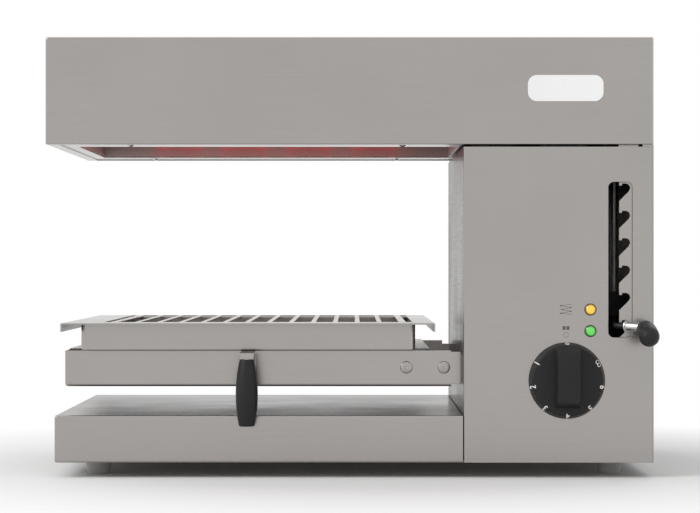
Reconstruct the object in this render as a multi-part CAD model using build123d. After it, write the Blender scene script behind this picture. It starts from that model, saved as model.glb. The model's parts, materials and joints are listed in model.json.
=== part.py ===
from build123d import *
import math
import os

# Cheese melter: a heated hood over a grid that slides up and down.
# Millimetres.  X to the right, Y to the back, Z up.  The origin lies on the floor,
# under the middle of the casing.  "depth" counts backwards from the front face.

# ---------- casing ----------
casing_width = 600.0
casing_depth = 400.0
casing_height = 435.0
casing_sheet = 1.2
bend_radius = 2.0
return_width = 12.0
hood_height = 106.0
hood_gap = 2.3
hood_rim_radius = 1.3
column_width = 187.6
base_height = 46.6
base_side_inset = 8.9
base_column_gap = 0.5
base_seam_width = 0.8
base_seam_depth = 0.6
side_cover_front_inset = 0.5
side_cover_tab_width = 10.8

# ---------- feet ----------
foot_height = 15.0
foot_top_radius = 13.8
foot_bottom_radius = 11.5
foot_rim_radius = 2.0
foot_side_inset = 38.0
foot_depth_inset = 60.5
foot_screw_radius = 2.5
foot_screw_reach = 10.0
foot_screw_head_radius = 4.5
foot_screw_head_height = 2.5

# ---------- hood opening and heaters ----------
recess_left_margin = 24.4
recess_right_margin = 1.5
recess_front_depth = 79.0
recess_back_depth = 348.0
reflector_sheet = 0.8
reflector_height = 46.0
reflector_flange = 10.0
insulation_thickness = 25.0
insulation_inset = 8.0
heater_count = 4
heater_pitch = 73.0
heater_tube_radius = 4.0
heater_leg_spacing = 42.0
heater_drop = 17.5
heater_front_gap = 16.0
heater_tail = 26.0
heater_flange_width = 60.0
heater_flange_height = 18.0
heater_flange_sheet = 1.5
heater_seat_clearance = 0.1
hanger_width = 6.0
hanger_sheet = 1.5
hanger_depth_share = 0.35
underside_screw_x = (-220.0, 53.0)
underside_screw_edge = 44.0

# ---------- plain plate and spacers ----------
badge_width = 74.6
badge_height = 25.8
badge_sheet = 0.8
badge_corner_radius = 9.0
badge_right_inset = 49.5
badge_top_inset = 37.6
spacer_width = 20.0
spacer_inset_side = 13.5
spacer_right_depth = 22.0
spacer_left_depth = 100.0
grommet_radius = 12.0
grommet_bore_radius = 8.0
grommet_lip = 2.0
grommet_lip_width = 3.0
grommet_right_inset = 100.0
grommet_depth = 345.0

# ---------- lever slot and notch plate ----------
slot_width = 23.9
slot_right_inset = 20.9
slot_bottom = 138.5
slot_top = 292.1
slot_corner_radius = 5.5
notch_count = 6
notch_pitch = 27.0
notch_plate_sheet = 2.0
notch_plate_margin = 9.0
notch_channel_width = 10.8
notch_channel_hidden = 3.0
notch_radius = 4.6
notch_reach = 6.2
notch_low_height = 150.8
notch_nib_width = 2.7
notch_nib_drop = 2.0
notch_pad_gap = 0.7
notch_pad_recess = 0.2
notch_pad_corner_radius = 6.3
notch_groove_depth = 1.2
plate_stud_radius = 2.0
plate_nut_radius = 4.0
plate_nut_height = 3.2
plate_stud_inset = 4.5

# ---------- guide rods and springs ----------
rod_radius = 4.0
rod_chamfer = 0.5
front_rod_right_inset = 29.0
front_rod_depth = 100.0
rear_rod_left_inset = 48.6
rear_rod_depth = 300.0
rod_seat_width = 24.0
rod_seat_height = 6.8
rod_seat_floor = 2.0
rod_fit = 0.02
bush_wall = 2.0
bush_fit = 0.05
spring_wire = 1.6
spring_clearance = 1.2
spring_pitch = 5.5
spring_end_gap = 0.3

# ---------- controls ----------
knob_right_inset = 85.7
knob_height = 96.0
knob_radius = 37.7
knob_reach = 27.0
knob_panel_gap = 1.0
knob_dial_thickness = 11.0
knob_dial_slope = 3.0
knob_bar_width = 25.5
knob_bar_top_width = 21.8
knob_bar_upper_end = 35.2
knob_bar_upper_flat = 28.1
knob_bar_lower_end = 26.6
knob_bar_lower_flat = 20.9
knob_bar_rim_gap = 1.5
knob_recess_radius = 13.0
knob_recess_depth = 6.0
spindle_radius = 3.0
spindle_fit = 0.05
spindle_knob_reach = 20.0
regulator_width = 38.0
regulator_depth = 32.0
regulator_neck_radius = 5.0
regulator_neck_reach = 4.5
regulator_nut_radius = 8.0
regulator_nut_height = 2.5
regulator_tab_width = 6.3
regulator_tab_sheet = 0.8
regulator_tab_length = 10.0
regulator_spindle_depth = 30.0
lamp_right_inset = 62.4
lamp_heights = {"power": 144.9, "heating": 166.1}
lamp_bezel_radius = 5.9
lamp_bezel_reach = 1.8
lamp_bezel_rounding = 0.6
lamp_barrel_radius = 4.8
lamp_barrel_length = 24.0
lamp_lens_radius = 5.2
lamp_lens_seat = 1.0
lamp_lens_dome = 2.0

# ---------- moving carriage ----------
lift_travel = notch_pitch * (notch_count - 1)
frame_front_depth = 30.0
frame_back_depth = 376.0
frame_left_inset = 15.8
frame_bottom = 88.9
frame_top = 124.7
frame_sheet = 1.5
frame_bend_radius = 3.0
frame_flange = 14.0
frame_wall_gap = 0.7
frame_relief_length = 10.4
frame_relief_top = 1.3
frame_relief_bottom = 2.3
frame_end_rounding = 1.0
frame_back_gap = 8.0
arm_sheet = 5.0
arm_height = 28.0
arm_bottom = 93.0
arm_length = 68.0
arm_inside_reach = 32.0
arm_rear_height = 27.9
arm_slot_clearance = 1.0
arm_slot_end_clearance = 2.0
bolt_column_distances = (18.2, 55.7)
bolt_height = 107.9
bolt_head_radius = 6.2
bolt_head_height = 1.0
bolt_shank_radius = 3.0
bolt_nut_radius = 5.6
bolt_nut_height = 4.5
bolt_tail = 1.5
slider_width = 24.0
slider_front_reach = 14.0
slider_back_reach = 14.0
slider_spine = 5.0
slider_bottom = 128.0
slider_top = 183.0
rear_slider_bottom = 93.0
rear_slider_top = 150.0
crossbar_sheet = 6.0
crossbar_bottom = 100.0
crossbar_top = 172.0

# ---------- handle ----------
handle_x = -100.8
handle_strip_width = 13.6
handle_strip_sheet = 3.0
handle_strip_drop = 26.0
handle_top_clearance = 0.4
handle_centre_reach = 44.0
handle_strip_end = 117.3
handle_tang_radius = 3.0
handle_tang_length = 45.0
grip_length = 65.5
grip_top_radius = 7.0
grip_middle_radius = 10.9
grip_bottom_radius = 7.6
grip_middle_share = 0.5

# ---------- lever ----------
hub_radius = 7.5
hub_gap = 0.3
hub_height = 14.2
lever_wire_radius = 2.75
lever_drop = 0.4
lever_rest_gap = 1.0
lever_knee_reach = 3.0
lever_elbow = (26.5, 17.0, 1.5)
lever_end = (27.3, 49.0, 9.4)
lever_bend_radius = 5.0
lever_grip_start = 4.0
lever_grip_neck_radius = 8.2
lever_grip_radius = 10.0
lever_grip_flare = 0.3
lever_grip_rounding = 2.5
collar_start = 11.0
collar_length = 16.5
collar_radius = 4.4
collar_washer_radius = 6.2
collar_washer_sheet = 1.2

# ---------- drip tray and grid ----------
tray_left_inset = 32.5
tray_right_gap = 47.0
tray_front_depth = 22.0
tray_back_depth = 378.0
tray_rest_gap = 0.1
tray_top = 151.0
tray_sheet = 1.2
tray_corner_radius = 6.0
tray_bend_radius = 1.8
tray_runner_width = 15.0
tray_runner_front_depth = 60.0
tray_runner_back_depth = 377.0
grid_sheet = 1.5
grid_left_inset = 14.7
grid_right_gap = 27.9
grid_front_depth = 0.0
grid_back_depth = 396.0
grid_lip = 8.5
grid_lip_bend = 1.0
grid_slot_count = 13
grid_slot_pitch = 22.2
grid_bar_width = 4.8
grid_end_slot_width = 6.6
grid_end_bar_width = 7.0
grid_slot_front_depth = 52.0
grid_slot_back_depth = 388.0
grid_first_slot_inset = 51.2
grid_slot_corner_radius = 2.0
grid_rest_gap = 0.1

# ---------- back of the casing ----------
vent_count = 8
vent_height = 4.0
vent_pitch = 12.0
vent_width = 90.0
vent_bottom = 180.0
hood_vent_count = 14
hood_vent_width = 4.0
hood_vent_pitch = 24.0
hood_vent_height = 36.0
gland_right_inset = 94.0
gland_height = 62.0
gland_thread_radius = 8.0
gland_hex_radius = 12.0
gland_hex_length = 6.0
gland_dome_radius = 10.0
gland_dome_length = 14.0
gland_dome_rounding = 3.3
gland_bore_radius = 4.5
gland_thread_reach = 9.0
gland_nut_length = 5.0
terminal_block_width = 60.0
terminal_block_depth = 22.0
terminal_block_height = 20.0
terminal_count = 5
terminal_hole_radius = 2.2
terminal_hole_depth = 13.0
terminal_right_inset = 105.0
terminal_back_inset = 40.0
screw_head_radius = 3.5
screw_head_height = 2.0
screw_shank_radius = 1.75
screw_shank_length = 6.0
screw_socket_radius = 1.4
screw_socket_depth = 1.1
rear_screw_inset = 6.0

# ---------- places worked out from the sizes ----------
left = -casing_width / 2
right = casing_width / 2
front = -casing_depth / 2
back = casing_depth / 2
inner_left = left + casing_sheet
inner_right = right - casing_sheet
inner_front = front + casing_sheet
inner_back = back - casing_sheet
hood_bottom = casing_height - hood_height
column_top = hood_bottom - hood_gap
column_left = right - column_width
column_inner_left = column_left + casing_sheet
base_left = left + base_side_inset
base_right = column_left - base_column_gap
base_top = foot_height + base_height
floor_bottom = foot_height + casing_sheet
floor_top = floor_bottom + casing_sheet
underside_bottom = hood_bottom + casing_sheet
underside_top = underside_bottom + casing_sheet
top_plate_bottom = column_top - casing_sheet
recess_left = left + recess_left_margin
recess_right = column_left - recess_right_margin
recess_front = front + recess_front_depth
recess_back = front + recess_back_depth
recess_middle = (recess_left + recess_right) / 2
reflector_top = underside_top + reflector_height
heater_height = underside_top + heater_drop
front_rod_x = right - front_rod_right_inset
front_rod_y = front + front_rod_depth
rear_rod_x = column_left + rear_rod_left_inset
rear_rod_y = front + rear_rod_depth
lower_seat_top = floor_top + rod_seat_height
upper_seat_bottom = top_plate_bottom - rod_seat_height
knob_x = right - knob_right_inset
lamp_x = right - lamp_right_inset
slot_right = right - slot_right_inset
slot_left = slot_right - slot_width
channel_right = slot_left + notch_channel_width
channel_left = slot_left - notch_channel_hidden
notch_x = channel_right + notch_reach
frame_front = front + frame_front_depth
frame_back = front + frame_back_depth
frame_left = left + frame_left_inset
frame_right = column_left - frame_wall_gap
arm_front_y = frame_front + frame_sheet
arm_rear_y = frame_back - frame_sheet - arm_sheet
arm_end = column_inner_left + arm_inside_reach
side_bar_left = arm_end - arm_sheet
lever_height = notch_low_height - lever_drop
hub_bottom = lever_height - hub_height / 2
hub_top = lever_height + hub_height / 2
handle_y = frame_front - handle_centre_reach
tray_left = left + tray_left_inset
tray_right = column_left - tray_right_gap
tray_front = front + tray_front_depth
tray_back = front + tray_back_depth
tray_bottom = frame_top + tray_rest_gap
grid_left = left + grid_left_inset
grid_right = column_left - grid_right_gap
grid_front = front + grid_front_depth
grid_back = front + grid_back_depth
grid_bottom = tray_top + grid_rest_gap
grid_top = grid_bottom + grid_sheet
bush_radius = rod_radius + bush_fit + bush_wall
spring_radius = rod_radius + spring_clearance + spring_wire / 2
gland_x = right - gland_right_inset
grommet_x = right - grommet_right_inset
grommet_y = front + grommet_depth
through = 5.0
near = 0.01


# ---------- small helpers ----------
def block(x, y, z):
    """A box from three (low, high) pairs."""
    centre = [(low + high) / 2 for low, high in (x, y, z)]
    size = [high - low for low, high in (x, y, z)]
    return Pos(*centre) * Box(*size)


def upright(x, y, radius, low, high):
    """A round bar along Z."""
    return Pos(x, y, (low + high) / 2) * Cylinder(radius, high - low)


def lengthwise(x, z, radius, low, high):
    """A round bar along Y."""
    return Pos(x, (low + high) / 2, z) * Rot(90, 0, 0) * Cylinder(radius, high - low)


def hexagon_bar(radius, length):
    """A six-sided bar along Z that stands on the XY plane."""
    return extrude(RegularPolygon(radius, 6), length)


def hexagon_nut(radius, bore_radius, height):
    """A nut that stands on the XY plane, bored right through."""
    return hexagon_bar(radius, height) - upright(0, 0, bore_radius, -through, height + through)


def edges_on(shape, x=None, y=None, z=None):
    """The straight edges whose middle lies on the given planes."""
    wanted = [(0, x), (1, y), (2, z)]
    found = []
    for edge in shape.edges():
        middle = edge @ 0.5
        place = (middle.X, middle.Y, middle.Z)
        if all(at is None or abs(place[axis] - at) < near for axis, at in wanted):
            found.append(edge)
    return found


def level_edges(shape, z):
    """The edges that lie in one level plane."""
    found = []
    for edge in shape.edges():
        box = edge.bounding_box()
        if abs(box.min.Z - z) < near and abs(box.max.Z - z) < near:
            found.append(edge)
    return found


def round_edges(shape):
    """The circular edges of a shape."""
    return [edge for edge in shape.edges() if edge.geom_type == GeomType.CIRCLE]


def group(solids):
    """Separate solids that share one node."""
    return Compound(children=list(solids))


def fan(centre, count, pitch):
    """Evenly spaced places on both sides of a centre."""
    return [centre + (n - (count - 1) / 2) * pitch for n in range(count)]


def dome_screw(head_radius, head_height, shank_radius, shank_length):
    """A round-headed screw with a hexagon socket; the head points up from the XY plane."""
    ball_radius = (head_radius**2 + head_height**2) / (2 * head_height)
    ball = Pos(0, 0, head_height - ball_radius) * Sphere(ball_radius)
    head = ball & (Pos(0, 0, head_height / 2) * Cylinder(head_radius, head_height))
    socket = Pos(0, 0, head_height - screw_socket_depth) * hexagon_bar(screw_socket_radius, through)
    shank = Pos(0, 0, -shank_length / 2) * Cylinder(shank_radius, shank_length)
    return head + shank - socket


# ---------- hood ----------
def hood_shell():
    """Front, top and sides folded from one sheet, with returns under the edges."""
    outer = block((left, right), (front, inner_back), (hood_bottom, casing_height))
    corners = edges_on(outer, x=left, y=front) + edges_on(outer, x=right, y=front)
    outer = fillet(corners, bend_radius)
    for height, radius in ((hood_bottom, hood_rim_radius), (casing_height, bend_radius - near)):
        rims = [edge for edge in level_edges(outer, height) if abs((edge @ 0.5).Y - inner_back) > near]
        outer = fillet(rims, radius)
    hollow = block(
        (inner_left, inner_right),
        (inner_front, back),
        (hood_bottom + casing_sheet, casing_height - casing_sheet),
    )
    opening = block(
        (left + return_width, right - return_width),
        (front + return_width, back),
        (hood_bottom - through, hood_bottom + casing_sheet + through),
    )
    return outer - hollow - opening


def hood_rear_panel():
    """Closes the back of the hood, with a row of upright vents."""
    panel = block((left, right), (inner_back, back), (hood_bottom, casing_height))
    middle = (hood_bottom + casing_height) / 2
    for x in fan(recess_middle, hood_vent_count, hood_vent_pitch):
        panel -= block(
            (x - hood_vent_width / 2, x + hood_vent_width / 2),
            (inner_back - through, back + through),
            (middle - hood_vent_height / 2, middle + hood_vent_height / 2),
        )
    for x, z in rear_screw_places("hood"):
        panel -= lengthwise(x, z, screw_shank_radius, inner_back - through, back + through)
    return panel


def underside_screw_places():
    """The four screws under the hood."""
    rows = (front + underside_screw_edge, back - (underside_screw_edge - 2 * return_width))
    return [(x, y) for x in underside_screw_x for y in rows]


def hood_underside():
    """The plate that carries the heater and closes the hood from below."""
    plate = block((inner_left, inner_right), (inner_front, inner_back), (underside_bottom, underside_top))
    plate -= block(
        (recess_left, recess_right),
        (recess_front, recess_back),
        (underside_bottom - through, underside_top + through),
    )
    for x, y in underside_screw_places():
        plate -= upright(x, y, screw_shank_radius, underside_bottom - through, underside_top + through)
    plate -= upright(
        grommet_x, grommet_y, grommet_radius, underside_bottom - through, underside_top + through
    )
    return plate


def heater_leg_places():
    """X of the two legs of each heating element."""
    middles = fan(recess_middle, heater_count, heater_pitch)
    return [(x - heater_leg_spacing / 2, x + heater_leg_spacing / 2) for x in middles]


def heater_reflector():
    """An inverted tray above the opening, with holes for the heater legs."""
    wall = reflector_sheet
    outer = block(
        (recess_left - wall, recess_right),
        (recess_front - wall, recess_back + wall),
        (underside_top, reflector_top + wall),
    )
    outer += block(
        (recess_left - reflector_flange, recess_right),
        (recess_front - reflector_flange, recess_back + reflector_flange),
        (underside_top, underside_top + wall),
    )
    outer -= block(
        (recess_left, recess_right - wall),
        (recess_front, recess_back),
        (underside_top - through, reflector_top),
    )
    for legs in heater_leg_places():
        for x in legs:
            outer -= lengthwise(
                x,
                heater_height,
                heater_tube_radius + heater_seat_clearance,
                recess_back - through,
                recess_back + through,
            )
    return outer


def insulation_board():
    """A mineral board on top of the reflector."""
    low = reflector_top + reflector_sheet
    return block(
        (recess_left + insulation_inset, recess_right - insulation_inset),
        (recess_front + insulation_inset, recess_back - insulation_inset),
        (low, low + insulation_thickness),
    )


def heating_element(legs):
    """A sheathed hairpin: two legs to the back and a half turn at the front."""
    turn_radius = heater_leg_spacing / 2
    turn_y = recess_front + heater_front_gap + turn_radius
    end_y = recess_back + heater_tail
    first, last = legs
    run = Line((first, end_y, heater_height), (first, turn_y, heater_height))
    middle = ((first + last) / 2, turn_y - turn_radius, heater_height)
    turn = ThreePointArc((first, turn_y, heater_height), middle, (last, turn_y, heater_height))
    back_run = Line((last, turn_y, heater_height), (last, end_y, heater_height))
    path = run + turn + back_run
    section = Plane(origin=(first, end_y, heater_height), z_dir=(0, -1, 0)) * Circle(heater_tube_radius)
    return sweep(section, path=path)


def heater_flanges():
    """One small plate behind the reflector for each heating element."""
    low_y = recess_back + reflector_sheet
    plates = []
    for legs in heater_leg_places():
        middle = sum(legs) / 2
        plate = block(
            (middle - heater_flange_width / 2, middle + heater_flange_width / 2),
            (low_y, low_y + heater_flange_sheet),
            (heater_height - heater_flange_height / 2, heater_height + heater_flange_height / 2),
        )
        for x in legs:
            plate -= lengthwise(x, heater_height, heater_tube_radius, low_y - through, low_y + through)
        plates.append(plate)
    return group(plates)


def heater_hangers():
    """Strips that hang from the reflector and hold each element by both legs."""
    hanger_y = recess_front + hanger_depth_share * (recess_back - recess_front)
    half = hanger_sheet / 2
    reach = heater_tube_radius + hanger_width / 2
    strips = []
    for legs in heater_leg_places():
        low, high = min(legs) - reach, max(legs) + reach
        height = (heater_height - reach, reflector_top)
        strip = block((low, high), (hanger_y - half, hanger_y + half), height)
        for x in legs:
            start, end = hanger_y - through, hanger_y + through
            strip -= lengthwise(x, heater_height, heater_tube_radius, start, end)
        strips.append(strip)
    return group(strips)


def badge_plate():
    """A bare rounded plate on the front of the hood."""
    x = right - badge_right_inset - badge_width / 2
    z = casing_height - badge_top_inset - badge_height / 2
    face = Plane(origin=(x, front, z), x_dir=(1, 0, 0), z_dir=(0, -1, 0))
    return extrude(face * RectangleRounded(badge_width, badge_height, badge_corner_radius), badge_sheet)


def spacer_places():
    """Centres of the four spacers between column and hood."""
    inset = spacer_inset_side + spacer_width / 2
    sides = ((column_left + inset, spacer_left_depth), (right - inset, spacer_right_depth))
    return [(x, y) for x, depth in sides for y in (front + depth, back - depth)]


def hood_spacers():
    """Blocks that hold the hood clear of the column and reach up to its underside plate."""
    half = spacer_width / 2
    return group(
        block((x - half, x + half), (y - half, y + half), (column_top, underside_bottom))
        for x, y in spacer_places()
    )


def wire_grommet():
    """A rubber bush through the column's top plate and the hood's underside."""
    low, high = top_plate_bottom - grommet_lip, underside_top + grommet_lip
    bush = upright(grommet_x, grommet_y, grommet_radius, low, high)
    lip_radius = grommet_radius + grommet_lip_width
    bush += upright(grommet_x, grommet_y, lip_radius, low, top_plate_bottom)
    bush += upright(grommet_x, grommet_y, lip_radius, underside_top, high)
    return bush - upright(grommet_x, grommet_y, grommet_bore_radius, low - through, high + through)


# ---------- column ----------
def column_shell():
    """Front and left wall folded from one sheet, with the lever slot and two arm slots."""
    outer = block((column_left, inner_right), (front, inner_back), (foot_height, column_top))
    outer = fillet(edges_on(outer, x=column_left, y=front), bend_radius)
    shell = outer - block((column_inner_left, right), (inner_front, back), (0, casing_height))
    shell += block(
        (inner_right - casing_sheet, inner_right),
        (inner_front, inner_front + return_width),
        (floor_top, top_plate_bottom),
    )
    shell += block(
        (column_inner_left, column_inner_left + return_width),
        (inner_back - casing_sheet, inner_back),
        (floor_top, top_plate_bottom),
    )
    for x, z in rear_screw_places("column"):
        shell -= lengthwise(x, z, screw_shank_radius, inner_back - through, back)
    shell -= block((column_left - through, right), (inner_front, back), (0, floor_top))
    slot_face = Plane(origin=(0, front, 0), x_dir=(1, 0, 0), z_dir=(0, -1, 0))
    shell -= extrude(slot_face * slot_outline(), through, both=True)
    shell -= lengthwise(knob_x, knob_height, regulator_neck_radius, front - through, front + through)
    for height in lamp_heights.values():
        shell -= lengthwise(lamp_x, height, lamp_barrel_radius, front - through, front + through)
    for y in (arm_front_y, arm_rear_y):
        shell -= block(
            (column_left - through, column_inner_left + through),
            (y - arm_slot_clearance, y + arm_sheet + arm_slot_clearance),
            (
                arm_bottom - arm_slot_end_clearance,
                arm_bottom + arm_height + lift_travel + arm_slot_end_clearance,
            ),
        )
    return shell


def side_cover():
    """The flat cover on the right of the column, with a tab that closes the gap under the hood."""
    cover_front = front + side_cover_front_inset
    cover = block((inner_right, right), (cover_front, back), (foot_height, hood_bottom))
    across = (right - side_cover_tab_width, right)
    return cover + block(across, (cover_front, cover_front + casing_sheet), (column_top, hood_bottom))


def column_rear_panel():
    """Closes the back of the column, with vents and the gland's hole."""
    panel = block((column_left, inner_right), (inner_back, back), (foot_height, column_top))
    middle = (column_left + inner_right) / 2
    for n in range(vent_count):
        low = vent_bottom + n * vent_pitch
        panel -= block(
            (middle - vent_width / 2, middle + vent_width / 2),
            (inner_back - through, back + through),
            (low, low + vent_height),
        )
    panel -= lengthwise(gland_x, gland_height, gland_thread_radius, inner_back - through, back + through)
    for x, z in rear_screw_places("column"):
        panel -= lengthwise(x, z, screw_shank_radius, inner_back - through, back + through)
    return panel


def column_top_plate():
    """Closes the column under the hood."""
    height = (top_plate_bottom, column_top)
    plate = block((column_inner_left, inner_right), (inner_front, inner_back), height)
    hole = upright(grommet_x, grommet_y, grommet_radius, column_top - through, column_top + through)
    return plate - hole


def floor_plate():
    """One plate that closes base and column from below."""
    across = (base_left + casing_sheet, inner_right)
    plate = block(across, (inner_front, inner_back), (floor_bottom, floor_top))
    for x, y in foot_places():
        plate -= upright(x, y, foot_screw_radius, floor_bottom - through, floor_top + through)
    return plate


def base_shell():
    """The low box under the grid."""
    outer = block((base_left, base_right), (front, back), (foot_height, base_top))
    uprights = edges_on(outer, x=base_left, y=front) + edges_on(outer, x=base_left, y=back)
    outer = fillet(uprights, bend_radius)
    rims = level_edges(outer, foot_height) + level_edges(outer, base_top)
    rims = [edge for edge in rims if abs((edge @ 0.5).X - base_right) > near]
    outer = fillet(rims, bend_radius - near)
    hollow = block(
        (base_left + casing_sheet, base_right + through),
        (inner_front, inner_back),
        (floor_bottom, base_top - casing_sheet),
    )
    opening = block(
        (base_left + return_width, base_right + through),
        (front + return_width, back - return_width),
        (0, floor_bottom + through),
    )
    seam = block(
        (base_right - base_seam_width, base_right + through),
        (inner_front, inner_back),
        (base_top - base_seam_depth, base_top + through),
    )
    return outer - hollow - opening - seam


def foot_places():
    """Centres of the four feet."""
    across = (base_left + foot_side_inset, right - foot_side_inset)
    along = (front + foot_depth_inset, back - foot_depth_inset)
    return [(x, y) for x in across for y in along]


def foot(x, y):
    """A tapered foot with a rounded lower rim and a bore for its screw."""
    rise = math.sqrt(0.5) * foot_rim_radius
    flat_radius = foot_bottom_radius - foot_rim_radius
    flat = Line((0, 0), (flat_radius, 0))
    rim = ThreePointArc(
        (flat_radius, 0),
        (flat_radius + rise, foot_rim_radius - rise),
        (foot_bottom_radius, foot_rim_radius),
    )
    side = Polyline(
        (foot_bottom_radius, foot_rim_radius),
        (foot_top_radius, foot_height),
        (foot_top_radius, floor_bottom),
        (0, floor_bottom),
        (0, 0),
    )
    body = revolve(Plane.XZ * make_face(flat + rim + side), Axis.Z)
    bore = upright(0, 0, foot_screw_radius, floor_bottom - foot_screw_reach, floor_bottom + through)
    return Pos(x, y, 0) * (body - bore)


def foot_screws():
    """The screws that hold the feet, heads inside the casing."""
    shank_length = floor_top - floor_bottom + foot_screw_reach - near
    shank_radius = foot_screw_radius - near
    screw = dome_screw(foot_screw_head_radius, foot_screw_head_height, shank_radius, shank_length)
    return group(Pos(x, y, floor_top) * screw for x, y in foot_places())


def slot_outline():
    """The lever slot in the column's front."""
    centre = Pos((slot_left + slot_right) / 2, (slot_bottom + slot_top) / 2)
    return centre * RectangleRounded(slot_width, slot_top - slot_bottom, slot_corner_radius)


def notch_outline(z):
    """One notch, open to the channel: a dome, a nib above it and a 45 degree slope below."""
    half = math.sqrt(0.5)
    top = z + notch_radius
    nib_z = top - notch_nib_drop
    nib_x = channel_right + notch_nib_width
    slope = (notch_x + half * notch_radius, z - half * notch_radius)
    edge_z = slope[1] - (slope[0] - channel_right)
    start = channel_right - notch_nib_width
    roof = Polyline((start, nib_z), (nib_x, nib_z), (nib_x, top), (notch_x, top))
    dome = ThreePointArc((notch_x, top), (notch_x + notch_radius, z), slope)
    floor = Polyline(slope, (channel_right, edge_z), (start, edge_z), (start, nib_z))
    return make_face(roof + dome + floor)


def notch_plate():
    """The toothed plate behind the lever slot, with a raised pad that fills the slot's right side."""
    face = Plane(origin=(0, inner_front, 0), x_dir=(1, 0, 0), z_dir=(0, -1, 0))
    outline = Pos((channel_left + slot_right) / 2, (slot_bottom + slot_top) / 2) * Rectangle(
        slot_right - channel_left + 2 * notch_plate_margin, slot_top - slot_bottom + 2 * notch_plate_margin
    )
    channel = Pos((channel_left + channel_right) / 2, (slot_bottom + slot_top) / 2) * Rectangle(
        channel_right - channel_left, slot_top - slot_bottom
    )
    pad = Pos((slot_left + slot_right) / 2, (slot_bottom + slot_top) / 2) * RectangleRounded(
        slot_width - 2 * notch_pad_gap, slot_top - slot_bottom - 2 * notch_pad_gap, notch_pad_corner_radius
    )
    groove = slot_outline() - pad - channel
    outline -= channel
    pad -= channel
    for n in range(notch_count):
        notch = notch_outline(notch_low_height + n * notch_pitch)
        outline -= notch
        pad -= notch
    plate = extrude(face * outline, -notch_plate_sheet)
    plate -= extrude(face * groove, -notch_groove_depth)
    return plate + extrude(face * pad, casing_sheet - notch_pad_recess)


def plate_stud_places():
    """The studs near the four corners of the notch plate."""
    inset = plate_stud_inset
    across = (channel_left - notch_plate_margin + inset, slot_right + notch_plate_margin - inset)
    along = (slot_bottom - notch_plate_margin + inset, slot_top + notch_plate_margin - inset)
    return [(x, z) for x in across for z in along]


def notch_plate_nuts():
    """Nuts with their stud ends behind the notch plate."""
    y = inner_front + notch_plate_sheet
    nut = hexagon_bar(plate_nut_radius, plate_nut_height) + upright(
        0, 0, plate_stud_radius, 0, plate_nut_height + plate_stud_radius
    )
    return group(Pos(x, y, z) * Rot(-90, 0, 0) * nut for x, z in plate_stud_places())


# ---------- guide rods, seats and springs ----------
def rod_places():
    """Centres of the two guide rods."""
    return {"front": (front_rod_x, front_rod_y), "rear": (rear_rod_x, rear_rod_y)}


def rod_seats():
    """A bored block at each end of each guide rod."""
    half = rod_seat_width / 2
    seats = []
    for x, y in rod_places().values():
        bore_ends = (floor_top + rod_seat_floor, top_plate_bottom - rod_seat_floor)
        bore = upright(x, y, rod_radius + rod_fit, *bore_ends)
        for low, high in ((floor_top, lower_seat_top), (upper_seat_bottom, top_plate_bottom)):
            seats.append(block((x - half, x + half), (y - half, y + half), (low, high)) - bore)
    return group(seats)


def guide_rod(x, y):
    """A plain ground rod between its two seats."""
    rod = upright(x, y, rod_radius, floor_top + rod_seat_floor, top_plate_bottom - rod_seat_floor)
    return chamfer(rod.edges(), rod_chamfer)


def lift_spring(x, y, high):
    """A coil spring round a guide rod, between its seat and the slider."""
    low = lower_seat_top + spring_end_gap + spring_wire / 2
    path = Helix(spring_pitch, high - spring_end_gap - spring_wire / 2 - low, spring_radius)
    section = Plane(origin=path @ 0, z_dir=path % 0) * Circle(spring_wire / 2)
    return Pos(x, y, low) * sweep(section, path=path, is_frenet=True)


# ---------- controls ----------
def energy_regulator():
    """The switch behind the dial: a body, a threaded neck and a row of tabs."""
    half = regulator_width / 2
    body_back = inner_front + regulator_depth
    neck_end = front - regulator_neck_reach
    body = block(
        (knob_x - half, knob_x + half),
        (inner_front, body_back),
        (knob_height - half, knob_height + half),
    )
    body = fillet(body.edges().filter_by(Axis.Y), bend_radius)
    body += lengthwise(knob_x, knob_height, regulator_neck_radius, neck_end, inner_front)
    for x in fan(knob_x, 2, regulator_width / 2):
        for z in fan(knob_height, 2, regulator_width / 2):
            body += block(
                (x - regulator_tab_width / 2, x + regulator_tab_width / 2),
                (body_back, body_back + regulator_tab_length),
                (z - regulator_tab_sheet / 2, z + regulator_tab_sheet / 2),
            )
    bore_end = front + regulator_spindle_depth
    return body - lengthwise(
        knob_x, knob_height, spindle_radius + spindle_fit, neck_end - through, bore_end
    )


def regulator_nut():
    """The flat nut that clamps the regulator to the panel."""
    nut = hexagon_nut(regulator_nut_radius, regulator_neck_radius, regulator_nut_height)
    return Pos(knob_x, front, knob_height) * Rot(90, 0, 0) * nut


def regulator_spindle():
    """The turning shaft, flattened where the dial grips it."""
    low = front - knob_panel_gap - spindle_knob_reach
    high = front + regulator_spindle_depth - spindle_fit
    spindle = lengthwise(knob_x, knob_height, spindle_radius, low, high)
    flat = block(
        (knob_x - spindle_radius, knob_x + spindle_radius),
        (low - through, front - regulator_neck_reach - knob_panel_gap),
        (knob_height + spindle_radius / 2, knob_height + 2 * spindle_radius),
    )
    return spindle - flat


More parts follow.
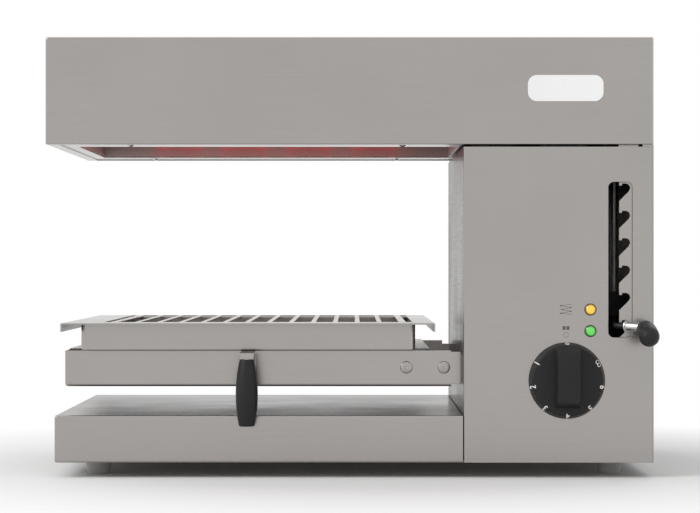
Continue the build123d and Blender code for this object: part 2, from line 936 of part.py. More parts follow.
def control_knob():
    """A dial with a bevelled grip bar across it."""
    dial = Cone(knob_radius, knob_radius - knob_dial_slope, knob_dial_thickness)
    dial = Pos(0, 0, knob_dial_thickness / 2) * dial
    dial = fillet(level_edges(dial, knob_dial_thickness), bend_radius)
    side = Plane.YZ * make_face(
        Polyline(
            (-knob_bar_lower_end, knob_dial_thickness / 2),
            (-knob_bar_lower_end, knob_dial_thickness),
            (-knob_bar_lower_flat, knob_reach),
            (knob_bar_upper_flat, knob_reach),
            (knob_bar_upper_end, knob_dial_thickness),
            (knob_bar_upper_end, knob_dial_thickness / 2),
            (-knob_bar_lower_end, knob_dial_thickness / 2),
        )
    )
    bar = extrude(side, knob_bar_width / 2, both=True)
    across = Plane.XZ * make_face(
        Polyline(
            (-knob_bar_width / 2, 0),
            (-knob_bar_width / 2, knob_dial_thickness),
            (-knob_bar_top_width / 2, knob_reach),
            (knob_bar_top_width / 2, knob_reach),
            (knob_bar_width / 2, knob_dial_thickness),
            (knob_bar_width / 2, 0),
            (-knob_bar_width / 2, 0),
        )
    )
    bar &= extrude(across, knob_radius, both=True)
    bar &= Pos(0, 0, knob_reach / 2) * Cylinder(knob_radius - knob_bar_rim_gap, knob_reach)
    bar = fillet(level_edges(bar, knob_reach), bend_radius / 2)
    knob = dial + bar
    knob -= Pos(0, 0, knob_recess_depth / 2) * Cylinder(knob_recess_radius, knob_recess_depth)
    knob = Pos(knob_x, front - knob_panel_gap, knob_height) * Rot(90, 0, 0) * knob
    return knob - regulator_spindle()


def lamp_bodies():
    """The bezel and barrel of each pilot lamp, with a pocket for its lens."""
    bodies = []
    for height in lamp_heights.values():
        body = lengthwise(lamp_x, height, lamp_bezel_radius, front - lamp_bezel_reach, front)
        rim = [edge for edge in round_edges(body) if (edge @ 0).Y < front - near]
        body = fillet(rim, lamp_bezel_rounding)
        body += lengthwise(lamp_x, height, lamp_barrel_radius, front, front + lamp_barrel_length)
        pocket_end = front - lamp_bezel_reach + lamp_lens_seat
        body -= lengthwise(lamp_x, height, lamp_lens_radius, pocket_end - through, pocket_end)
        bodies.append(body)
    return group(bodies)


def lamp_lens(height):
    """The coloured dome of a lamp."""
    radius, seat = lamp_lens_radius, lamp_lens_seat
    ball_radius = (radius**2 + lamp_lens_dome**2) / (2 * lamp_lens_dome)
    half_angle = math.asin(radius / ball_radius) / 2
    top = seat + lamp_lens_dome
    shoulder = (ball_radius * math.sin(half_angle), top - ball_radius * (1 - math.cos(half_angle)))
    dome = ThreePointArc((radius, seat), shoulder, (0, top))
    outline = dome + Polyline((0, top), (0, 0), (radius, 0), (radius, seat))
    lens = revolve(Plane.XZ * make_face(outline), Axis.Z)
    return Pos(lamp_x, front - lamp_bezel_reach + seat, height) * Rot(90, 0, 0) * lens


def terminal_block():
    """The mains terminals on the floor plate, with a hole for each wire."""
    x = right - terminal_right_inset
    y = back - terminal_back_inset
    top = floor_top + terminal_block_height
    wire_height = floor_top + terminal_block_height / 2
    body = block(
        (x - terminal_block_width / 2, x + terminal_block_width / 2),
        (y - terminal_block_depth / 2, y + terminal_block_depth / 2),
        (floor_top, top),
    )
    for hole_x in fan(x, terminal_count, terminal_block_width / terminal_count):
        body -= upright(hole_x, y, terminal_hole_radius, top - terminal_hole_depth, top + through)
        body -= lengthwise(
            hole_x, wire_height, terminal_hole_radius, y - terminal_block_depth, y + terminal_block_depth
        )
    return body


def cable_gland():
    """The gland for the supply lead: thread, hexagon and domed clamp nut, bored through."""
    hexagon = Rot(-90, 0, 0) * hexagon_bar(gland_hex_radius, gland_hex_length)
    gland = Pos(0, back, 0) * hexagon
    gland += lengthwise(0, 0, gland_thread_radius, inner_back - gland_thread_reach, back)
    dome_start = back + gland_hex_length
    dome = lengthwise(0, 0, gland_dome_radius, dome_start, dome_start + gland_dome_length)
    tip = [edge for edge in round_edges(dome) if (edge @ 0).Y > dome_start + near]
    gland += fillet(tip, gland_dome_rounding)
    gland -= lengthwise(0, 0, gland_bore_radius, front, back + casing_depth)
    return Pos(gland_x, 0, gland_height) * gland


def gland_locknut():
    """The nut inside the casing that holds the gland."""
    nut = hexagon_nut(gland_hex_radius, gland_thread_radius, gland_nut_length)
    return Pos(gland_x, inner_back, gland_height) * Rot(90, 0, 0) * nut


def rear_screw_places(panel):
    """X and Z of the screws in the rear panels."""
    inset = rear_screw_inset
    if panel == "hood":
        across = (left + inset, right - inset)
        along = (hood_bottom + inset, casing_height - inset)
    else:
        across = (column_left + inset, inner_right - inset)
        along = (floor_top + inset, top_plate_bottom - inset)
    return [(x, z) for x in across for z in along]


def casing_screws():
    """The screws of both rear panels, heads to the back, and those under the hood, heads down."""
    screw = dome_screw(screw_head_radius, screw_head_height, screw_shank_radius, screw_shank_length)
    rear_places = rear_screw_places("hood") + rear_screw_places("column")
    screws = [Pos(x, back, z) * Rot(-90, 0, 0) * screw for x, z in rear_places]
    screws += [Pos(x, y, underside_bottom) * Rot(180, 0, 0) * screw for x, y in underside_screw_places()]
    return group(screws)


# ---------- carriage ----------
def slider(x, y, low, high):
    """A block bored for a bush at each end."""
    half = slider_width / 2
    body = block((x - half, x + half), (y - slider_front_reach, y + slider_back_reach), (low, high))
    return body - upright(x, y, bush_radius, low - through, high + through)


def front_slider():
    """The slider on the front rod, open in the middle for the lever's hub."""
    body = slider(front_rod_x, front_rod_y, slider_bottom, slider_top)
    return body - block(
        (front_rod_x - slider_width, front_rod_x + slider_width),
        (front_rod_y - slider_width, front_rod_y + slider_back_reach - slider_spine),
        (hub_bottom - hub_gap, hub_top + hub_gap),
    )


def rear_slider():
    """The slider on the rear rod, fixed to the side bar."""
    return slider(rear_rod_x, rear_rod_y, rear_slider_bottom, rear_slider_top)


def slide_bushes():
    """Bronze bushes: one through each end of each slider."""
    spans = [
        ("front", slider_bottom, hub_bottom - hub_gap),
        ("front", hub_top + hub_gap, slider_top),
        ("rear", rear_slider_bottom, rear_slider_bottom + slider_width),
        ("rear", rear_slider_top - slider_width, rear_slider_top),
    ]
    bushes = []
    for rod, low, high in spans:
        x, y = rod_places()[rod]
        bush = upright(x, y, bush_radius, low, high)
        bushes.append(bush - upright(x, y, rod_radius + bush_fit, low - through, high + through))
    return group(bushes)


def carriage_crossbar():
    """The plate that ties the front slider to the side bar."""
    y = front_rod_y + slider_back_reach
    return block(
        (arm_end, front_rod_x + slider_width / 2), (y, y + crossbar_sheet), (crossbar_bottom, crossbar_top)
    )


def carriage_side_bar():
    """The bar inside the column that joins both arms."""
    height = (arm_bottom, arm_bottom + arm_height)
    return block((side_bar_left, arm_end), (arm_front_y + arm_sheet, arm_rear_y), height)


def support_arm(y, height):
    """A flat arm through a slot in the column wall."""
    start = column_left - arm_length
    arm = block((start, arm_end), (y, y + arm_sheet), (arm_bottom, arm_bottom + height))
    for x in bolt_places():
        arm -= lengthwise(x, bolt_height, bolt_shank_radius, y - through, y + arm_sheet + through)
    return arm


def bolt_places():
    """X of the two bolts in each arm."""
    return [column_left - distance for distance in bolt_column_distances]


def support_frame():
    """The folded frame that carries the tray: front, left and rear wall with a lower flange."""
    outer = block((frame_left, frame_right), (frame_front, frame_back), (frame_bottom, frame_top))
    uprights = edges_on(outer, x=frame_left, y=frame_front) + edges_on(outer, x=frame_left, y=frame_back)
    outer = fillet(uprights, frame_bend_radius)
    rims = [edge for edge in level_edges(outer, frame_bottom) if abs((edge @ 0.5).X - frame_right) > near]
    outer = fillet(rims, frame_bend_radius - near)
    hollow = block(
        (frame_left + frame_sheet, frame_right + through),
        (frame_front + frame_sheet, frame_back - frame_sheet),
        (frame_bottom + frame_sheet, frame_top + through),
    )
    inner_radius = frame_bend_radius - frame_sheet
    inner_left_x, inner_floor = frame_left + frame_sheet, frame_bottom + frame_sheet
    uprights = edges_on(hollow, x=inner_left_x, y=frame_front + frame_sheet)
    uprights += edges_on(hollow, x=inner_left_x, y=frame_back - frame_sheet)
    hollow = fillet(uprights, inner_radius)
    far_end = frame_right + through
    rims = [edge for edge in level_edges(hollow, inner_floor) if abs((edge @ 0.5).X - far_end) > near]
    outer -= fillet(rims, inner_radius - near)
    outer -= block(
        (frame_left + frame_flange, frame_right + through),
        (frame_front + frame_flange, frame_back - frame_flange),
        (frame_bottom - through, frame_top),
    )
    outer -= block(
        (column_left - frame_back_gap, frame_right + through),
        (frame_back - frame_flange - through, frame_back + through),
        (frame_bottom - through, frame_top + through),
    )
    outer = fillet(edges_on(outer, x=frame_right, y=frame_front), frame_end_rounding)
    for low, high in (
        (frame_bottom - through, frame_bottom + frame_relief_bottom),
        (frame_top - frame_relief_top, frame_top + through),
    ):
        outer -= block(
            (frame_right - frame_relief_length, frame_right + through),
            (frame_front - through, frame_front + frame_flange + through),
            (low, high),
        )
    for x in bolt_places():
        outer -= lengthwise(x, bolt_height, bolt_shank_radius, frame_front - through, frame_back + through)
    return outer


def arm_bolts():
    """Round-headed bolts through frame and arms, heads outside."""
    grip = frame_sheet + arm_sheet
    shank_length = grip + bolt_nut_height + bolt_tail
    bolt = dome_screw(bolt_head_radius, bolt_head_height, bolt_shank_radius, shank_length)
    bolts = []
    for x in bolt_places():
        bolts.append(Pos(x, frame_front, bolt_height) * Rot(90, 0, 0) * bolt)
        bolts.append(Pos(x, frame_back, bolt_height) * Rot(-90, 0, 0) * bolt)
    return group(bolts)


def arm_nuts():
    """A nut on the inner side of each arm bolt."""
    nut = hexagon_nut(bolt_nut_radius, bolt_shank_radius, bolt_nut_height)
    nuts = []
    for x in bolt_places():
        nuts.append(Pos(x, arm_front_y + arm_sheet, bolt_height) * Rot(-90, 0, 0) * nut)
        nuts.append(Pos(x, arm_rear_y, bolt_height) * Rot(90, 0, 0) * nut)
    return group(nuts)


# ---------- handle ----------
def handle_bracket():
    """A bent strip from the frame's front wall, ending in a round tang for the grip."""
    top = frame_top - handle_top_clearance
    sheet = handle_strip_sheet
    x = (handle_x - handle_strip_width / 2, handle_x + handle_strip_width / 2)
    tip = handle_y - sheet / 2
    strip = block(x, (tip, frame_front), (top - sheet, top))
    strip += block(x, (frame_front - sheet, frame_front), (top - handle_strip_drop, top))
    strip += block(x, (tip, tip + sheet), (handle_strip_end, top))
    bends = edges_on(strip, x=handle_x, y=tip, z=top)
    strip = fillet(bends, sheet - near)
    tang_top = handle_strip_end + sheet / 2
    tang_low = handle_strip_end - handle_tang_length
    tang = upright(handle_x, handle_y, handle_tang_radius, tang_low, tang_top)
    return strip + (tang & block(x, (front - casing_depth, front), (0, handle_strip_end)))


def handle_grip():
    """A barrel grip, blind-bored for the tang."""
    low = handle_strip_end - grip_length
    middle = handle_strip_end - grip_middle_share * grip_length
    side = ThreePointArc(
        (grip_top_radius, handle_strip_end), (grip_middle_radius, middle), (grip_bottom_radius, low)
    )
    outline = side + Polyline(
        (grip_bottom_radius, low), (0, low), (0, handle_strip_end), (grip_top_radius, handle_strip_end)
    )
    body = revolve(Plane.XZ * make_face(outline), Axis.Z)
    body = fillet(round_edges(body), bend_radius / 2)
    bore_end = handle_strip_end - handle_tang_length
    bore = upright(0, 0, handle_tang_radius, bore_end, handle_strip_end + through)
    return Pos(handle_x, handle_y, 0) * (body - bore)


# ---------- lever ----------
def lever_points():
    """The lever's route: hub, knee in the slot, elbow in front of the panel, end."""
    knee_x = channel_right - lever_rest_gap - lever_wire_radius
    knee_y = front - lever_knee_reach
    hub = Vector(front_rod_x, front_rod_y, lever_height)
    knee = Vector(knee_x, knee_y, lever_height)
    elbow = knee + Vector(lever_elbow[0], -lever_elbow[1], -lever_elbow[2])
    end = knee + Vector(lever_end[0], -lever_end[1], -lever_end[2])
    return hub, knee, elbow, end


def lever_arm():
    """The hub on the front rod and the bent round arm."""
    hub_at, knee, elbow, end = lever_points()
    ring = upright(front_rod_x, front_rod_y, hub_radius, hub_bottom, hub_top)
    inner = hub_at + (knee - hub_at).normalized() * (rod_radius + bush_wall)
    tip = elbow + (end - elbow).normalized() * lever_grip_start
    path = FilletPolyline(inner, knee, elbow, tip, radius=lever_bend_radius)
    section = Plane(origin=inner, z_dir=(knee - inner).normalized()) * Circle(lever_wire_radius)
    arm = ring + sweep(section, path=path)
    bore_ends = (hub_bottom - through, hub_top + through)
    return arm - upright(front_rod_x, front_rod_y, rod_radius + bush_fit, *bore_ends)


def across_run(start, end, distance):
    """A plane across a straight run of the lever, facing the run's end."""
    direction = (end - start).normalized()
    return Plane(origin=start + direction * distance, z_dir=direction)


def lever_collar():
    """The bright sleeve between knee and elbow, with a washer at its inner end."""
    _, knee, elbow, _ = lever_points()
    plane = across_run(knee, elbow, collar_start)
    bore = Circle(lever_wire_radius)
    sleeve = extrude(plane * (Circle(collar_radius) - bore), collar_length)
    return sleeve + extrude(plane * (Circle(collar_washer_radius) - bore), collar_washer_sheet)


def lever_grip():
    """The egg-shaped grip at the end of the lever."""
    _, _, elbow, end = lever_points()
    plane = across_run(elbow, end, lever_grip_start)
    length = (end - elbow).length - lever_grip_start
    neck, big = lever_grip_neck_radius, lever_grip_radius
    side = Spline((neck, 0), (big, length), tangents=((lever_grip_flare, 1), (0, 1)))
    cap = ThreePointArc(
        (big, length), (big * math.sqrt(0.5), length + big * math.sqrt(0.5)), (0, length + big)
    )
    outline = side + cap + Polyline((0, length + big), (0, 0), (neck, 0))
    grip = revolve(Plane.XZ * make_face(outline), Axis.Z)
    return plane.location * fillet(level_edges(grip, 0), lever_grip_rounding)


# ---------- drip tray and grid ----------
def drip_tray():
    """An open tray with a runner plate along each side."""
    outer = block((tray_left, tray_right), (tray_front, tray_back), (tray_bottom, tray_top))
    outer = fillet(outer.edges().filter_by(Axis.Z), tray_corner_radius)
    outer = fillet(level_edges(outer, tray_bottom), tray_bend_radius)
    hollow = block(
        (tray_left + tray_sheet, tray_right - tray_sheet),
        (tray_front + tray_sheet, tray_back - tray_sheet),
        (tray_bottom + tray_sheet, tray_top + through),
    )
    hollow = fillet(hollow.edges().filter_by(Axis.Z), tray_corner_radius - tray_sheet)
    tray = outer - hollow
    for low, high in (
        (tray_left - tray_runner_width, tray_left + tray_bend_radius),
        (tray_right - tray_bend_radius, tray_right + tray_runner_width),
    ):
        runner = block(
            (low, high),
            (front + tray_runner_front_depth, front + tray_runner_back_depth),
            (tray_bottom, tray_bottom + tray_sheet),
        )
        tray += runner - hollow
    return tray


def grill_grid():
    """A flat slotted sheet with a lip down each side."""
    sheet = block((grid_left, grid_right), (grid_front, grid_back), (grid_top - grid_lip, grid_top))
    bends = edges_on(sheet, x=grid_left, z=grid_top) + edges_on(sheet, x=grid_right, z=grid_top)
    sheet = fillet(bends, grid_lip_bend)
    sheet -= block(
        (grid_left + grid_sheet, grid_right - grid_sheet),
        (grid_front - through, grid_back + through),
        (grid_top - grid_lip - through, grid_bottom),
    )
    wide = grid_slot_pitch - grid_bar_width
    first = grid_left + grid_first_slot_inset
    last = first + (grid_slot_count - 1) * grid_slot_pitch + wide
    slots = [(first + n * grid_slot_pitch, wide) for n in range(grid_slot_count)]
    slots.append((first - grid_end_bar_width - grid_end_slot_width, grid_end_slot_width))
    slots.append((last + grid_end_bar_width, grid_end_slot_width))
    slot_length = grid_slot_back_depth - grid_slot_front_depth
    slot_y = front + (grid_slot_front_depth + grid_slot_back_depth) / 2
    for low, width in slots:
        outline = RectangleRounded(width, slot_length, grid_slot_corner_radius)
        sheet -= extrude(Pos(low + width / 2, slot_y, grid_bottom - through) * outline, grid_lip + through)
    return sheet


# ---------- all nodes ----------
def build_nodes():
    """Every node of the cheese melter by name."""
    nodes = {
        "hood_shell": hood_shell(),
        "hood_rear_panel": hood_rear_panel(),
        "hood_underside": hood_underside(),
        "heater_reflector": heater_reflector(),
        "insulation_board": insulation_board(),
        "heater_flanges": heater_flanges(),
        "heater_hangers": heater_hangers(),
        "badge_plate": badge_plate(),
        "hood_spacers": hood_spacers(),
        "wire_grommet": wire_grommet(),
        "column_shell": column_shell(),
        "side_cover": side_cover(),
        "column_rear_panel": column_rear_panel(),
        "column_top_plate": column_top_plate(),
        "floor_plate": floor_plate(),
        "base_shell": base_shell(),
        "foot_screws": foot_screws(),
        "notch_plate": notch_plate(),
        "notch_plate_nuts": notch_plate_nuts(),
        "rod_seats": rod_seats(),
        "energy_regulator": energy_regulator(),
        "lamp_bodies": lamp_bodies(),
        "regulator_nut": regulator_nut(),
        "terminal_block": terminal_block(),
        "cable_gland": cable_gland(),
        "gland_locknut": gland_locknut(),
        "casing_screws": casing_screws(),
        "front_slider": front_slider(),
        "rear_slider": rear_slider(),
        "slide_bushes": slide_bushes(),
        "carriage_crossbar": carriage_crossbar(),
        "carriage_side_bar": carriage_side_bar(),
        "front_arm": support_arm(arm_front_y, arm_height),
        "rear_arm": support_arm(arm_rear_y, arm_rear_height),
        "support_frame": support_frame(),
        "arm_bolts": arm_bolts(),
        "arm_nuts": arm_nuts(),
        "handle_bracket": handle_bracket(),
        "handle_grip": handle_grip(),
        "lever_arm": lever_arm(),
        "lever_collar": lever_collar(),
        "lever_grip": lever_grip(),
        "control_knob": control_knob(),
        "regulator_spindle": regulator_spindle(),
        "drip_tray": drip_tray(),
        "grill_grid": grill_grid(),
    }
    for number, legs in enumerate(heater_leg_places(), start=1):
        nodes[f"heating_element_{number}"] = heating_element(legs)
    corners = ("front_left", "rear_left", "front_right", "rear_right")
    for corner, (x, y) in zip(corners, foot_places()):
        nodes[f"foot_{corner}"] = foot(x, y)
    for lamp, height in lamp_heights.items():
        nodes[f"{lamp}_lamp_lens"] = lamp_lens(height)
    spring_tops = {"front": slider_bottom, "rear": rear_slider_bottom}
    for name, (x, y) in rod_places().items():
        nodes[f"{name}_guide_rod"] = guide_rod(x, y)
        nodes[f"{name}_lift_spring"] = lift_spring(x, y, spring_tops[name])
    return nodes


os.makedirs("parts", exist_ok=True)
for node, shape in build_nodes().items():
    export_step(shape, f"parts/{node}.step")
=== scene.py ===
import json
import math

import bmesh
import bpy
from mathutils import Matrix, Vector
from mathutils.bvhtree import BVHTree

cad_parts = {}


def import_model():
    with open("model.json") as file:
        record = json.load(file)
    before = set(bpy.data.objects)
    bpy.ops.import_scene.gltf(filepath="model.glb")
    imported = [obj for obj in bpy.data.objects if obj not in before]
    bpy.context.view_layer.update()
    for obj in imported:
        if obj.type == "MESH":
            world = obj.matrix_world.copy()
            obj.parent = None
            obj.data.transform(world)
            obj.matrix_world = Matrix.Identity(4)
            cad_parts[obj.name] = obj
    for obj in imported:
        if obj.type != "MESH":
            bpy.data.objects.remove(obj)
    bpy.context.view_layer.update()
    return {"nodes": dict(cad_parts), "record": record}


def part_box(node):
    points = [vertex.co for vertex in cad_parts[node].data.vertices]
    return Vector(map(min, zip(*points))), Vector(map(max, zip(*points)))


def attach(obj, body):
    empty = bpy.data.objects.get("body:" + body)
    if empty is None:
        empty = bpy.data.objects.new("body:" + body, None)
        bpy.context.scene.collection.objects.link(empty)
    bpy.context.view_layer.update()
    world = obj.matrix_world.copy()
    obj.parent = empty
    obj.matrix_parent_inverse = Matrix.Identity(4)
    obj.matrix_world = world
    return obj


# Metres.  X to the right, Y to the back, Z up, as in the CAD frame.

# ---------- camera, from the photograph's one-point perspective ----------
IMAGE_WIDTH = 700
IMAGE_HEIGHT = 513
VANISHING_POINT = (353.0, 264.0)
FOCAL_PIXELS = 2551.0
SENSOR_MM = 36.0
CAMERA_PLACE = (0.0034, -2.716, 0.211)

# ---------- light and floor ----------
WORLD_LIGHT = 0.63
BACKGROUND = (1.0, 1.0, 1.0)
FLOOR_SIZE = 16.0
FLOOR_COLOUR = (0.88, 0.88, 0.88)
# Between these distances from its middle the floor turns plain white; inside them it is white by a trace.
FLOOR_FADE = (0.33, 0.72)
FLOOR_MIDDLE = (0.04, 0.0, 0.0)
FLOOR_LIFT = 0.013
# Name, place, target, size and power of each lamp.
LAMPS = (
    ("key_light", (-2.5, -1.7, 2.0), (0.0, -0.1, 0.2), 1.6, 50.0),
    ("fill_light", (2.3, -2.0, 1.0), (0.1, 0.0, 0.2), 1.8, 3.0),
    ("top_light", (0.2, 0.4, 2.6), (0.0, 0.0, 0.2), 2.6, 7.0),
)

# ---------- textures in general ----------
# Most values of a noise texture lie between these.
NOISE_SPAN = (0.3, 0.7)
SHEET_EDGE = 0.0006

# ---------- sheet steel ----------
STEEL = (0.375, 0.355, 0.340)
STEEL_ROUGHNESS = 0.22
# Noise scales along and across the fine lines of the rolled sheet.
GRAIN_ALONG = 9.0
GRAIN_ACROSS = 1500.0
# Painted shade: the column's walls and the base are the same steel as the rest, with their reflection at
# a grazing angle darkened to this share of full.
WALL_GLANCE_SHADE = 0.45
BASE_GLANCE_SHADE = 0.72
# The tray's inside has a dark film on its upward faces below this height: partly baked-on stain, partly
# painted shade under the grid.
BAKED_FILM_AND_SHADE = (0.055, 0.032, 0.024)
FILM_AND_SHADE_TOP = 0.1263

# ---------- heater ----------
REFLECTOR = (0.285, 0.255, 0.245)
# Painted glow: the red of each element's light, painted on the reflector.
PAINTED_GLOW_COLOUR = (0.40, 0.205, 0.205)
# The painted glow fades between these distances from an element's middle, and between these heights;
# below these heights the reflector is also painted lighter.
PAINTED_GLOW_WIDTH = (0.020, 0.030)
PAINTED_GLOW_HEIGHT = (0.333, 0.341)
SHEATH_COLOURS = ((0.10, 0.045, 0.035), (0.22, 0.10, 0.08))
SHEATH_GLOW = ((0.80, 0.09, 0.07), (1.0, 0.14, 0.10))
SHEATH_GLOW_STRENGTH = (1.6, 2.2)

# ---------- other colours ----------
ALUMINISED = (0.30, 0.265, 0.245)
ZINC = (0.62, 0.61, 0.60)
GROUND_STEEL = (0.42, 0.42, 0.43)
BLACK_OXIDE = (0.012, 0.012, 0.013)
BRONZE = (0.42, 0.26, 0.11)
MINERAL_FIBRE = (0.80, 0.77, 0.68)
WHITE_ENAMEL = (0.90, 0.90, 0.90)
STEATITE = (0.72, 0.69, 0.62)
GREY_RUBBER = (0.42, 0.42, 0.42)
PHENOLIC = (0.0165, 0.0165, 0.017)
PALE_INK = (0.20, 0.19, 0.18)
DARK_INK = (0.085, 0.08, 0.078)

# ---------- pilot lamps ----------
AMBER = (0.40, 0.20, 0.02)
AMBER_GLOW = (0.82, 0.50, 0.06)
GREEN = (0.04, 0.22, 0.03)
GREEN_GLOW = (0.10, 0.56, 0.085)
LENS_BRIGHT_RADIUS = 0.0034
LENS_RIM_RADIUS = 0.0049

# ---------- dial print ----------
PRINT_LIFT = 0.00015
# Longest edge of the print's mesh, so that it follows the dial's rounded rim.
PRINT_STEP = 0.0004
PRINT_SPLITS = 4
# The print is laid on by rays that start this far in front of the panel.
RAY_START = 1.0
DIGIT_HEIGHT = 0.0051
# Height of a figure as a share of the font's size.
DIGIT_SHARE = 0.7
DIGIT_SWELL = 0.00013
DIGIT_RING = 0.0347
DIGIT_ANGLES = {"1": 60, "2": 100, "3": 140, "4": 180, "5": 220, "6": 260}
ZERO_SIZE = (0.0044, 0.0020)
ZERO_RING = 0.0364
TWIN_MARK_ANGLE = 300
TWIN_MARK_RADIUS = 0.00165
PRINT_LINE = 0.0006

# ---------- panel print ----------
PANEL_Y = -0.200
SYMBOL_LINE = 0.0008
ZIGZAG = (
    (0.2195, 0.1712),
    (0.2075, 0.1700),
    (0.2190, 0.1680),
    (0.2085, 0.1662),
    (0.2190, 0.1644),
    (0.2075, 0.1624),
    (0.2195, 0.1612),
)
BAR_CENTRES = (0.2116, 0.2154)
BAR_HEIGHT = 0.1479
BAR_SIZE = (0.0030, 0.0036)
RING_CENTRE = (0.2134, 0.1411)
RING_RADIUS = 0.0024
RING_LINE = 0.00056

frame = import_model()
nodes = frame["nodes"]


# ---------- material building blocks ----------
class Tree:
    """Adds nodes to one material's node tree and links them."""

    def __init__(self, name):
        self.material = bpy.data.materials.new(name)
        self.material.use_nodes = True
        self.tree = self.material.node_tree
        self.shader = self.tree.nodes["Principled BSDF"]

    def add(self, kind, links=None, **values):
        """A node with its properties, constants and incoming links."""
        node = self.tree.nodes.new(kind)
        for key, value in values.items():
            if hasattr(node, key):
                setattr(node, key, value)
            else:
                node.inputs[key.replace("_", " ")].default_value = value
        for key, source in (links or {}).items():
            self.tree.links.new(source, node.inputs[key])
        return node

    def set(self, **values):
        """Constants on the shader's own sockets."""
        for key, value in values.items():
            self.shader.inputs[key.replace("_", " ")].default_value = value

    def link(self, source, socket):
        """A socket linked to the shader."""
        self.tree.links.new(source, self.shader.inputs[socket])

    def math(self, operation, *operands):
        """A Math node; each operand is a socket or a number."""
        node = self.tree.nodes.new("ShaderNodeMath")
        node.operation = operation
        for place, operand in enumerate(operands):
            if isinstance(operand, (int, float)):
                node.inputs[place].default_value = operand
            else:
                self.tree.links.new(operand, node.inputs[place])
        return node.outputs[0]

    def mix_colour(self, factor, first, second):
        """Two colours mixed by a socket."""
        node = self.tree.nodes.new("ShaderNodeMix")
        node.data_type = "RGBA"
        self.tree.links.new(factor, node.inputs[0])
        for place, colour in ((6, first), (7, second)):
            if isinstance(colour, (tuple, list)):
                node.inputs[place].default_value = (*colour, 1.0)
            else:
                self.tree.links.new(colour, node.inputs[place])
        return node.outputs[2]

    def spread(self, source, low, high, to_low=0.0, to_high=1.0):
        """A value moved from one range to another and clamped."""
        node = self.add("ShaderNodeMapRange", {"Value": source})
        ends = {"From Min": low, "From Max": high, "To Min": to_low, "To Max": to_high}
        for key, value in ends.items():
            node.inputs[key].default_value = value
        return node.outputs["Result"]

    def place(self):
        """The object's own coordinates, in metres."""
        return self.add("ShaderNodeTexCoord").outputs["Object"]

    def noise(self, vector, scale, detail=3.0, roughness=0.55):
        """A noise texture's value."""
        node = self.add("ShaderNodeTexNoise", {"Vector": vector})
        node.inputs["Scale"].default_value = scale
        node.inputs["Detail"].default_value = detail
        node.inputs["Roughness"].default_value = roughness
        return node.outputs["Fac"]

    def stretched(self, vector, stretch):
        """The same place with each axis scaled, for grain."""
        node = self.add("ShaderNodeMapping", {"Vector": vector})
        node.inputs["Scale"].default_value = stretch
        return node.outputs["Vector"]

    def soft_edge_normal(self, radius):
        """A normal that rounds sharp edges."""
        node = self.add("ShaderNodeBevel", samples=6)
        node.inputs["Radius"].default_value = radius
        return node.outputs["Normal"]

    def bump(self, height, strength, distance, normal=None):
        """A bump from a height socket, linked to the shader."""
        links = {"Height": height}
        if normal is not None:
            links["Normal"] = normal
        node = self.add("ShaderNodeBump", links)
        node.inputs["Strength"].default_value = strength
        node.inputs["Distance"].default_value = distance
        self.link(node.outputs["Normal"], "Normal")


def shade(colour, factor):
    """A colour made lighter or darker."""
    return tuple(min(1.0, part * factor) for part in colour)


def sheet_steel(name, colour, roughness, film_and_shade_top=None, glance_shade=1.0):
    """Satin sheet steel: a grain along each sheet and soft smears; below the film height, a dark film on
    upward faces, partly baked-on stain and partly painted shade; a glance share below full paints shade
    into the grazing reflection.
    """
    tree = Tree(name)
    place = tree.place()
    normal = tree.add("ShaderNodeTexCoord").outputs["Normal"]
    facing = tree.add("ShaderNodeSeparateXYZ", {"Vector": normal})
    is_side = tree.math("GREATER_THAN", tree.math("ABSOLUTE", facing.outputs["X"]), 0.7)
    lines_in_x = (GRAIN_ALONG, GRAIN_ACROSS, GRAIN_ACROSS)
    lines_in_y = (GRAIN_ACROSS, GRAIN_ALONG, GRAIN_ACROSS)
    across = tree.noise(tree.stretched(place, lines_in_x), 1.0, 2.0)
    along = tree.noise(tree.stretched(place, lines_in_y), 1.0, 2.0)
    lines = tree.add("ShaderNodeMix", {"Factor": is_side, 2: across, 3: along}).outputs[0]
    smears = tree.noise(place, 7.0, 4.0)
    worn = tree.spread(tree.noise(place, 60.0, 5.0, 0.7), 0.62, 0.74)
    tone = tree.math(
        "ADD",
        tree.spread(smears, *NOISE_SPAN, 0.0, 0.55),
        tree.spread(lines, *NOISE_SPAN, 0.0, 0.45),
    )
    body = tree.mix_colour(tone, shade(colour, 0.955), shade(colour, 1.045))
    body = tree.mix_colour(tree.math("MULTIPLY", worn, 0.25), body, shade(colour, 0.86))
    # Partly baked-on stain, partly painted shade under the grid: upward faces below the film height turn
    # dark brown in patches.
    if film_and_shade_top is not None:
        height = tree.add("ShaderNodeSeparateXYZ", {"Vector": place}).outputs["Z"]
        upward = tree.math("GREATER_THAN", facing.outputs["Z"], 0.5)
        inside = tree.math("MULTIPLY", upward, tree.math("LESS_THAN", height, film_and_shade_top))
        patches = tree.spread(tree.noise(place, 16.0, 6.0), 0.25, 0.6, 0.72, 0.95)
        body = tree.mix_colour(tree.math("MULTIPLY", inside, patches), body, BAKED_FILM_AND_SHADE)
    tree.link(body, "Base Color")
    rough = tree.math(
        "ADD",
        tree.spread(smears, *NOISE_SPAN, -0.035, 0.045),
        tree.spread(lines, *NOISE_SPAN, -0.03, 0.03),
    )
    tree.link(tree.math("ADD", rough, roughness), "Roughness")
    # A glance share below full is painted shade: it darkens the steel's reflection at a grazing angle.
    tree.set(Metallic=1.0, Specular_Tint=(glance_shade, glance_shade, glance_shade, 1.0))
    tree.bump(lines, 0.35, 0.00002, tree.soft_edge_normal(SHEET_EDGE))
    return tree.material


